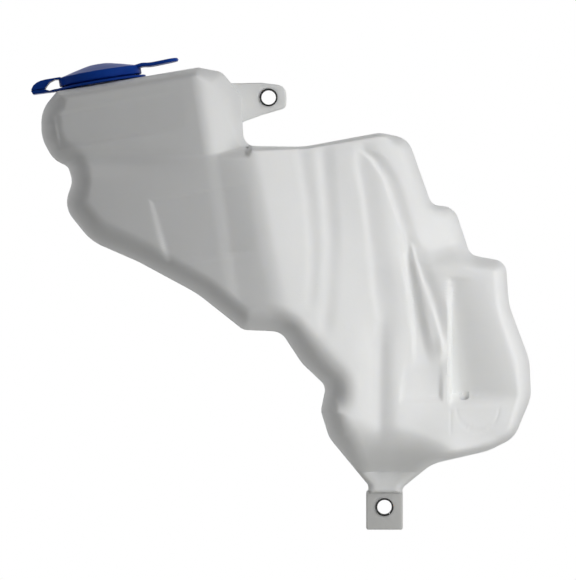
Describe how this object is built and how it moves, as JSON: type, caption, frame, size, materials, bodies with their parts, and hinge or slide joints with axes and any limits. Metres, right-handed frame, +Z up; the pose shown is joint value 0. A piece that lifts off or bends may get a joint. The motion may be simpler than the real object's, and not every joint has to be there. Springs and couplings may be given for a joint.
{
  "type": "vehicle fluid reservoir",
  "caption": "Blow-moulded translucent fluid tank with a slanting body, fluted front, two sleeved fixing ears and a blue flip cap on a tilted filler neck.",
  "frame": {"origin": "centre of the lower bolt hole, in the parting plane of the mould", "axes": "+X to the right and +Z up as seen from the fluted front, +Y away from the viewer and along both bolt holes"},
  "size_m": [0.3095, 0.0908, 0.2925],
  "materials": {
    "tank_hdpe": "natural translucent polyethylene, satin from the mould",
    "cap_blue": "moulded blue polypropylene, satin",
    "sleeve_steel": "bright zinc plated rolled steel"
  },
  "bodies": {
    "tank": {"tank": "tank_hdpe", "cap_collar": "cap_blue", "upper_sleeve": "sleeve_steel", "lower_sleeve": "sleeve_steel"},
    "lid": {"cap_lid": "cap_blue"}
  },
  "joints": [
    {"name": "lid_hinge", "type": "hinge", "parent": "tank", "child": "lid", "pos_m": [-0.21876, 0, 0.25766], "axis": [0, -1, 0], "range_deg": [0, 140]}
  ]
}
